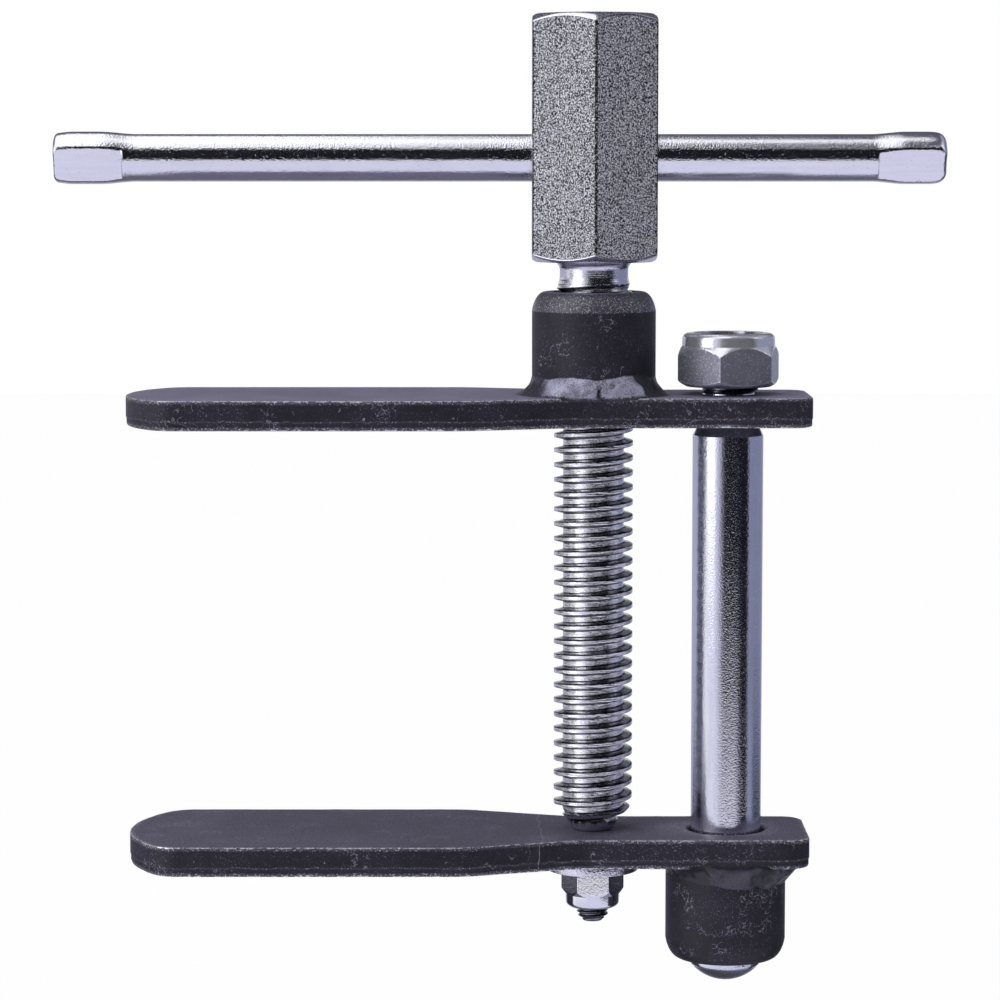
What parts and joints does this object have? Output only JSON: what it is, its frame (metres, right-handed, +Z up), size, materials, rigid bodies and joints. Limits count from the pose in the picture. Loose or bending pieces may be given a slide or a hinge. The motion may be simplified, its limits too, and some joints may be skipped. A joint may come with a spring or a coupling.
{
  "type": "brake caliper piston tool",
  "caption": "Brake caliper piston spreader: a hexagon-head lead screw with a sliding tommy bar drives the flat upper arm along a guide rod, away from the lower arm.",
  "frame": {"origin": "where the lead screw's axis meets the plane of the lower arm's outer face", "axes": "+Z up the lead screw towards the drive hexagon, +X along the arms from the jaw towards the guide rod"},
  "size_m": [0.179, 0.042, 0.1965],
  "materials": {
    "black_paint": "satin",
    "weld_paint": "semi gloss",
    "bright_zinc": "bright zinc plate",
    "dull_zinc": "zinc plate",
    "locking_ring": "matte"
  },
  "bodies": {
    "lower_arm": {"lower_arm": "black_paint", "guide_sleeve": "black_paint", "sleeve_weld": "weld_paint"},
    "spindle": {"spindle": "bright_zinc", "thrust_washer": "dull_zinc", "tail_nut": "dull_zinc", "tail_nut_insert": "locking_ring"},
    "tommy_bar": {"tommy_bar": "bright_zinc"},
    "upper_arm": {"upper_arm": "black_paint", "threaded_boss": "black_paint", "boss_weld": "weld_paint", "guide_rod": "bright_zinc", "rod_nut": "dull_zinc", "rod_nut_insert": "locking_ring"}
  },
  "joints": [
    {"name": "spindle_turn", "type": "hinge", "parent": "lower_arm", "child": "spindle", "pos_m": [0, 0, 0], "axis": [0, 0, -1], "range_deg": [-9900, 120]},
    {"name": "upper_arm_slide", "type": "slide", "parent": "lower_arm", "child": "upper_arm", "axis": [0, 0, 1], "range_m": [-0.0826, 0.0011]},
    {"name": "tommy_bar_slide", "type": "slide", "parent": "spindle", "child": "tommy_bar", "axis": [1, 0, 0], "range_m": [-0.044, 0.0818]}
  ],
  "couplings": [
    {"joint": "upper_arm_slide", "follows": "spindle_turn", "m_per_rad": 0.00047746}
  ]
}
